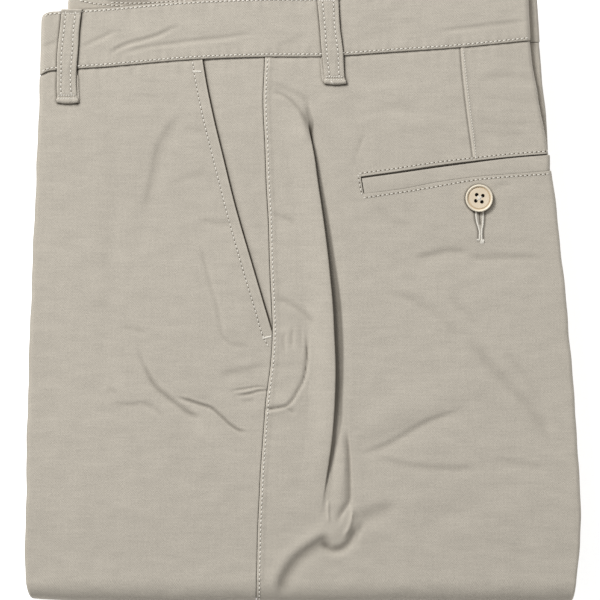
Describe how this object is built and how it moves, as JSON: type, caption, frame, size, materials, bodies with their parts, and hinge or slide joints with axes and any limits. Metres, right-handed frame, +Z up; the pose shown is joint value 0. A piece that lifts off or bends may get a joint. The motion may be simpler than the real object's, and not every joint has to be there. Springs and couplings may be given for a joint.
{
  "type": "folded chino trousers",
  "caption": "Flat-front cotton chino trousers folded crease to crease, left leg up, with belt loops, a slanted front pocket and a buttoned welt pocket at the back.",
  "frame": {"origin": "centre of the folded trousers' footprint, on the surface they lie on", "axes": "+X from the front crease to the back crease, +Y from the thigh fold to the waist, +Z up, out of the left leg's outer side"},
  "size_m": [0.3338, 0.3702, 0.0291],
  "materials": {
    "twill": "fine brushed cotton twill, stone colour, with a soft sheen",
    "thread": "matt sewing thread, a little lighter than the cloth",
    "button": "satin horn-coloured resin"
  },
  "bodies": {
    "root": {"front_left": "twill", "back_left": "twill", "pocket_facing": "twill", "pocket_welt": "twill", "button": "button", "waistband_left": "twill", "waistband_right": "twill", "belt_loop_front_left": "twill", "belt_loop_side_left": "twill", "belt_loop_front_right": "twill", "belt_loop_side_right": "twill", "right_leg": "twill"}
  },
  "joints": []
}
